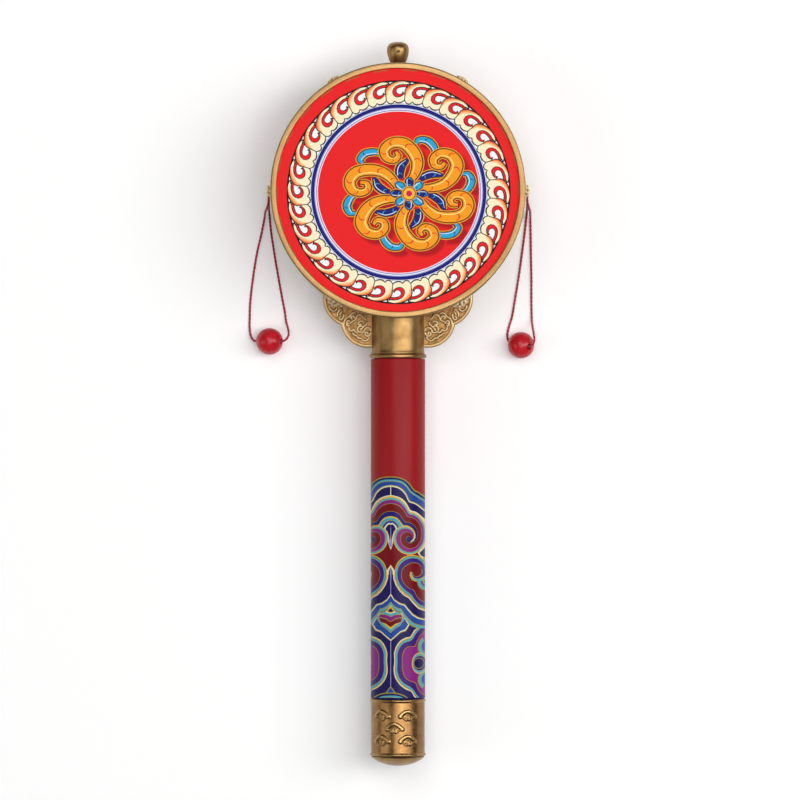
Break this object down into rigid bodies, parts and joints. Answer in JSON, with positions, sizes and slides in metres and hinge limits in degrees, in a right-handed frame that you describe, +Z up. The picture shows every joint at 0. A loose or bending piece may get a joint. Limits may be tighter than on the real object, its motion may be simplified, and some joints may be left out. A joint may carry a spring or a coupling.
{
  "type": "rattle drum",
  "caption": "Round two-headed rattle drum on a turned handle, with gold hoops, brass studs, cloud-shaped side plates and a corded bead at each side.",
  "frame": {"origin": "on the surface that the drum lies on, under the middle of the box round the drum and its handle", "axes": "+Y from the handle to the finial, +Z up out of the printed drum head, +X to the right of that head"},
  "size_m": [0.1274, 0.3194, 0.042],
  "materials": {
    "red_lacquer": "glossy red lacquer",
    "printed_lacquer": "satin red lacquer with a printed cloud pattern",
    "hoop_gold": "satin gold with a fine grain",
    "aged_brass": "aged satin brass, dark in the hollows",
    "printed_head": "stretched skin with a satin print",
    "plain_head": "stretched skin, red",
    "bead_paint": "glossy crimson paint",
    "crimson_thread": "twisted crimson thread"
  },
  "bodies": {
    "root": {"shell": "red_lacquer", "hoop_front": "hoop_gold", "hoop_back": "hoop_gold", "head_front": "printed_head", "head_back": "plain_head", "finial": "aged_brass", "stud_1": "aged_brass", "stud_2": "aged_brass", "stud_3": "aged_brass", "stud_4": "aged_brass", "stud_5": "aged_brass", "stud_6": "aged_brass", "ferrule": "aged_brass", "wing_left": "aged_brass", "wing_right": "aged_brass", "handle": "printed_lacquer", "pommel_sleeve": "aged_brass", "pommel_cap": "aged_brass", "bead_left": "bead_paint", "bead_right": "bead_paint", "cord_left": "crimson_thread", "cord_right": "crimson_thread"}
  },
  "joints": []
}
